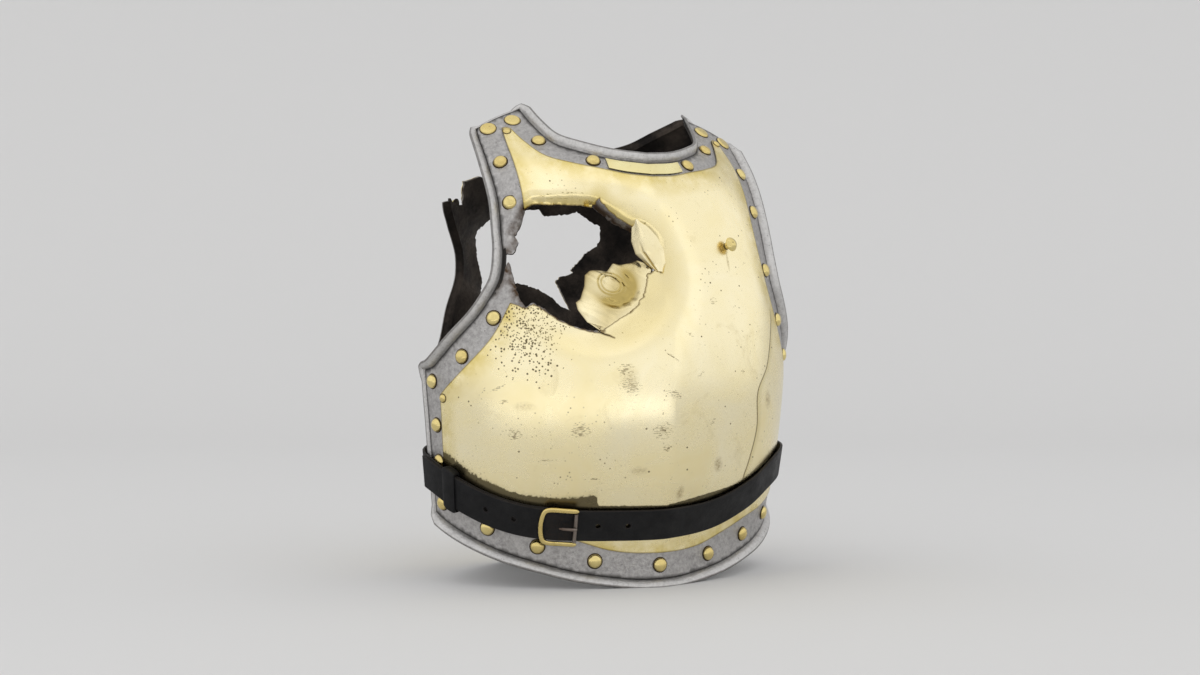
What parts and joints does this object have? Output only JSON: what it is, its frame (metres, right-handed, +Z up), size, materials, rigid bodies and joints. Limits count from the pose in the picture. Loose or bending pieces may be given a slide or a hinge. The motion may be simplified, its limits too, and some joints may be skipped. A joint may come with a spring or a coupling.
{
  "type": "cuirass",
  "caption": "Brass-faced steel breastplate and backplate of a heavy cavalry cuirass, holed right through by shot, with riveted borders and a buckled waist belt.",
  "frame": {"origin": "centre of the bounding box, at the lowest rims on which it stands", "axes": "+Z up; the breast faces -Y; +X is the wearer's left, so the shot hole in the breast is at -X"},
  "size_m": [0.3914, 0.284, 0.4526],
  "materials": {
    "steel": "old polished steel, pitted grey",
    "dark_steel": "browned, matt",
    "brass": "polished, spotted with tarnish",
    "leather": "black, dull"
  },
  "bodies": {
    "root": {"breast_steel": "steel", "breast_brass": "brass", "back_steel": "dark_steel", "back_brass": "brass", "rivet_neck_1_right": "brass", "rivet_neck_1_left": "brass", "rivet_neck_2_right": "brass", "rivet_neck_2_left": "brass", "rivet_neck_3_right": "brass", "rivet_neck_3_left": "brass", "rivet_arm_1_right": "brass", "rivet_arm_1_left": "brass", "rivet_arm_2_right": "brass", "rivet_arm_2_left": "brass", "rivet_arm_3_right": "brass", "rivet_arm_3_left": "brass", "rivet_arm_4_left": "brass", "rivet_arm_5_right": "brass", "rivet_arm_5_left": "brass", "rivet_arm_6_right": "brass", "rivet_arm_6_left": "brass", "rivet_arm_7_right": "brass", "rivet_arm_7_left": "brass", "rivet_side_1_right": "brass", "rivet_side_1_left": "brass", "rivet_side_2_right": "brass", "rivet_side_2_left": "brass", "rivet_bottom_1_right": "brass", "rivet_bottom_1_left": "brass", "rivet_bottom_2_right": "brass", "rivet_bottom_2_left": "brass", "rivet_bottom_3_right": "brass", "rivet_bottom_3_left": "brass", "rivet_bottom_4_right": "brass", "rivet_bottom_4_left": "brass", "rivet_bottom_5_mid": "brass", "rivet_facing_top_right": "brass", "rivet_facing_top_left": "brass", "rivet_facing_side_right": "brass", "rivet_facing_side_left": "brass", "chest_stud": "brass", "neck_plaque": "brass", "tongue_curled": "brass", "tongue_ear": "brass", "belt_buckle_strap": "leather", "belt_long_strap": "leather", "belt_keeper": "leather", "buckle_frame": "brass", "buckle_bar": "steel", "buckle_prong": "steel", "belt_rivet_right": "brass", "belt_rivet_left": "brass"}
  },
  "joints": []
}
